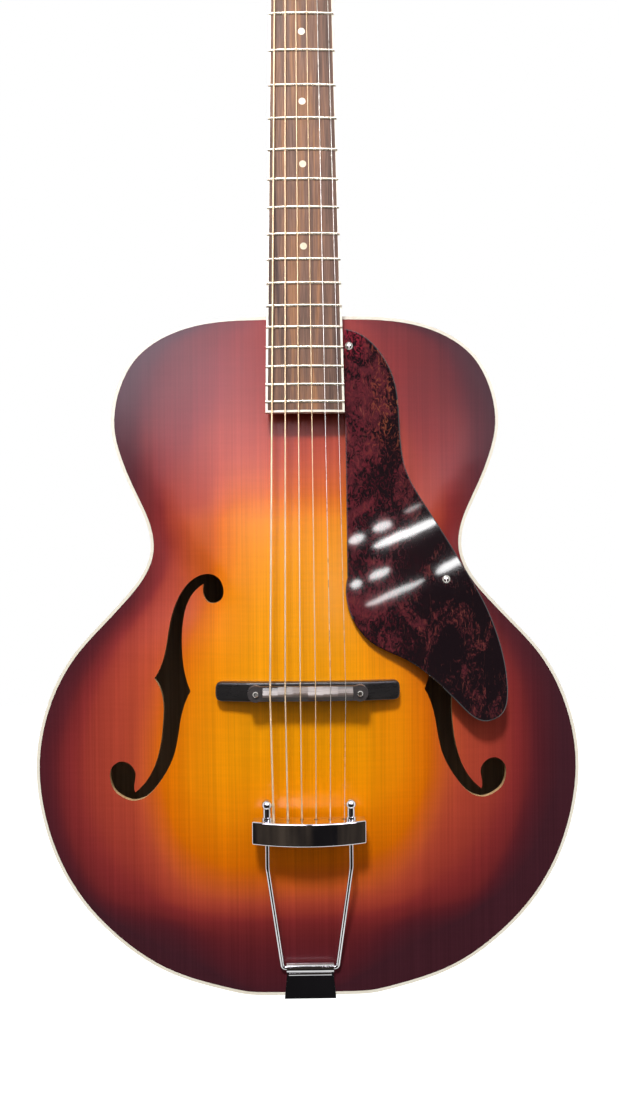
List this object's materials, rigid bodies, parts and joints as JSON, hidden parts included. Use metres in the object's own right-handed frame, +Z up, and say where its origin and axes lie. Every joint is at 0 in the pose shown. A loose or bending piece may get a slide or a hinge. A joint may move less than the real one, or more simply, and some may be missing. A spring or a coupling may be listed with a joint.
{
  "type": "archtop guitar",
  "caption": "Hollow archtop guitar with arched top, f-holes, floating height-adjustable bridge, trapeze tailpiece, raised pickguard and geared open-back tuners.",
  "frame": {"origin": "on the centre line at the nut's front end, on the fingerboard's glue plane, where a wall hanger's yoke holds the neck just under the headstock", "axes": "+Z up towards the headstock, -Y out of the guitar's face, +X to the treble side"},
  "size_m": [0.4064, 0.1394, 1.0555],
  "materials": {
    "spruce_top": "satin lacquer, sunburst from amber to dark red-brown",
    "maple_body": "satin lacquer, dark red-brown",
    "inner_wood": "bare",
    "neck_wood": "satin lacquer, dark red-brown",
    "rosewood": "oiled",
    "ebony": "satin, dyed black",
    "cream_binding": "polished",
    "dot_inlay": "polished",
    "bone": "satin",
    "fret_nickel": "polished",
    "tortoise": "polished, mottled",
    "bright_chrome": "mirror plated",
    "nickel": "plated",
    "rod_steel": "plain",
    "black_plastic": "satin",
    "plain_string": "drawn",
    "wound_string": "wound bronze",
    "button_cream": "polished"
  },
  "bodies": {
    "guitar": {"soundboard": "spruce_top", "back_plate": "maple_body", "rim_bass": "maple_body", "rim_treble": "maple_body", "linings": "inner_wood", "neck_block": "inner_wood", "tail_block": "inner_wood", "tone_bars": "inner_wood", "neck": "neck_wood", "fingerboard": "rosewood", "bridge_base": "ebony", "headstock_veneer": "ebony", "body_binding": "cream_binding", "fingerboard_binding": "cream_binding", "heel_cap": "cream_binding", "position_dots": "dot_inlay", "nut": "bone", "frets": "fret_nickel", "pickguard": "tortoise", "tailpiece_bar": "bright_chrome", "tailpiece_frame": "bright_chrome", "tailpiece_ball_nuts": "bright_chrome", "tailpiece_hinge": "bright_chrome", "bridge_posts": "nickel", "tailpiece_screws": "nickel", "pickguard_screws": "nickel", "tuner_plates": "nickel", "tuner_bushings": "nickel", "small_screws": "nickel", "truss_rod": "rod_steel", "truss_rod_cover": "black_plastic", "end_pin": "black_plastic", "pickguard_spacers": "black_plastic", "string_1": "plain_string", "string_2": "plain_string", "string_3": "wound_string", "string_4": "wound_string", "string_5": "wound_string", "string_6": "wound_string"},
    "saddle": {"bridge_saddle": "rosewood"},
    "thumbwheel_bass": {"thumbwheel_bass": "nickel"},
    "thumbwheel_treble": {"thumbwheel_treble": "nickel"},
    "tuner_1_knob": {"tuner_1_button": "button_cream", "tuner_1_worm": "nickel"},
    "tuner_1_post": {"tuner_1_post": "nickel"},
    "tuner_2_knob": {"tuner_2_button": "button_cream", "tuner_2_worm": "nickel"},
    "tuner_2_post": {"tuner_2_post": "nickel"},
    "tuner_3_knob": {"tuner_3_button": "button_cream", "tuner_3_worm": "nickel"},
    "tuner_3_post": {"tuner_3_post": "nickel"},
    "tuner_4_knob": {"tuner_4_button": "button_cream", "tuner_4_worm": "nickel"},
    "tuner_4_post": {"tuner_4_post": "nickel"},
    "tuner_5_knob": {"tuner_5_button": "button_cream", "tuner_5_worm": "nickel"},
    "tuner_5_post": {"tuner_5_post": "nickel"},
    "tuner_6_knob": {"tuner_6_button": "button_cream", "tuner_6_worm": "nickel"},
    "tuner_6_post": {"tuner_6_post": "nickel"}
  },
  "joints": [
    {"name": "saddle_height", "type": "slide", "parent": "guitar", "child": "saddle", "axis": [0, -1, 0], "range_m": [-0.0021, 0]},
    {"name": "thumbwheel_bass_turn", "type": "hinge", "parent": "saddle", "child": "thumbwheel_bass", "pos_m": [-0.0372, -0.00843, -0.63268], "axis": [0, -1, 0], "continuous": true},
    {"name": "thumbwheel_treble_turn", "type": "hinge", "parent": "saddle", "child": "thumbwheel_treble", "pos_m": [0.0372, -0.00843, -0.63268], "axis": [0, -1, 0], "continuous": true},
    {"name": "tuner_1_turn", "type": "hinge", "parent": "guitar", "child": "tuner_1_knob", "pos_m": [0.02027, 0.02981, 0.03512], "axis": [1, 0, 0], "continuous": true},
    {"name": "tuner_1_wind", "type": "hinge", "parent": "guitar", "child": "tuner_1_post", "pos_m": [0.02027, 0.0138, 0.04896], "axis": [0, 0.9558, -0.294], "continuous": true},
    {"name": "tuner_2_turn", "type": "hinge", "parent": "guitar", "child": "tuner_2_knob", "pos_m": [0.02193, 0.04216, 0.07526], "axis": [1, 0, 0], "continuous": true},
    {"name": "tuner_2_wind", "type": "hinge", "parent": "guitar", "child": "tuner_2_post", "pos_m": [0.02193, 0.02615, 0.0891], "axis": [0, 0.9558, -0.294], "continuous": true},
    {"name": "tuner_3_turn", "type": "hinge", "parent": "guitar", "child": "tuner_3_knob", "pos_m": [0.02359, 0.05451, 0.1154], "axis": [1, 0, 0], "continuous": true},
    {"name": "tuner_3_wind", "type": "hinge", "parent": "guitar", "child": "tuner_3_post", "pos_m": [0.02359, 0.0385, 0.12925], "axis": [0, 0.9558, -0.294], "continuous": true},
    {"name": "tuner_4_turn", "type": "hinge", "parent": "guitar", "child": "tuner_4_knob", "pos_m": [-0.02359, 0.05451, 0.1154], "axis": [-1, 0, 0], "continuous": true},
    {"name": "tuner_4_wind", "type": "hinge", "parent": "guitar", "child": "tuner_4_post", "pos_m": [-0.02359, 0.0385, 0.12925], "axis": [0, 0.9558, -0.294], "continuous": true},
    {"name": "tuner_5_turn", "type": "hinge", "parent": "guitar", "child": "tuner_5_knob", "pos_m": [-0.02193, 0.04216, 0.07526], "axis": [-1, 0, 0], "continuous": true},
    {"name": "tuner_5_wind", "type": "hinge", "parent": "guitar", "child": "tuner_5_post", "pos_m": [-0.02193, 0.02615, 0.0891], "axis": [0, 0.9558, -0.294], "continuous": true},
    {"name": "tuner_6_turn", "type": "hinge", "parent": "guitar", "child": "tuner_6_knob", "pos_m": [-0.02027, 0.02981, 0.03512], "axis": [-1, 0, 0], "continuous": true},
    {"name": "tuner_6_wind", "type": "hinge", "parent": "guitar", "child": "tuner_6_post", "pos_m": [-0.02027, 0.0138, 0.04896], "axis": [0, 0.9558, -0.294], "continuous": true}
  ],
  "couplings": [
    {"joint": "thumbwheel_bass_turn", "follows": "saddle_height", "rad_per_m": 8976},
    {"joint": "thumbwheel_treble_turn", "follows": "saddle_height", "rad_per_m": 8976},
    {"joint": "tuner_1_wind", "follows": "tuner_1_turn", "ratio": 0.071429},
    {"joint": "tuner_2_wind", "follows": "tuner_2_turn", "ratio": 0.071429},
    {"joint": "tuner_3_wind", "follows": "tuner_3_turn", "ratio": 0.071429},
    {"joint": "tuner_4_wind", "follows": "tuner_4_turn", "ratio": 0.071429},
    {"joint": "tuner_5_wind", "follows": "tuner_5_turn", "ratio": 0.071429},
    {"joint": "tuner_6_wind", "follows": "tuner_6_turn", "ratio": 0.071429}
  ]
}
